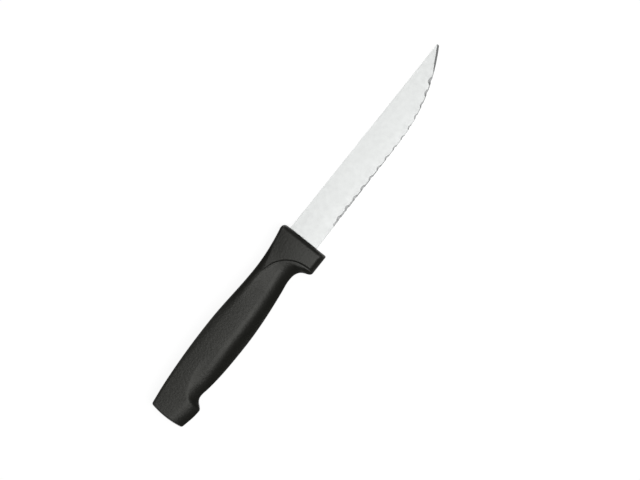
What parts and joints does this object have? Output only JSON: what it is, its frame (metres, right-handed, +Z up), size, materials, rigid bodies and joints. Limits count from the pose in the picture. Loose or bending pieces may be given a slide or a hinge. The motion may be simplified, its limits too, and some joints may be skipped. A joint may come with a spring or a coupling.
{
  "type": "steak knife",
  "caption": "Steak knife with a scalloped steel blade and a black plastic handle moulded round its tang.",
  "frame": {"origin": "middle of the knife's box in X and Y, on the table under it; the knife lies on its side", "axes": "+X along the knife to the point, +Y from the cutting edge to the spine, +Z up from the table"},
  "size_m": [0.2234, 0.0262, 0.013],
  "materials": {
    "steel": "satin stamped stainless sheet, ground edge",
    "black_plastic": "fine-grained matt moulded polypropylene"
  },
  "bodies": {
    "root": {"blade": "steel", "handle": "black_plastic"}
  },
  "joints": []
}
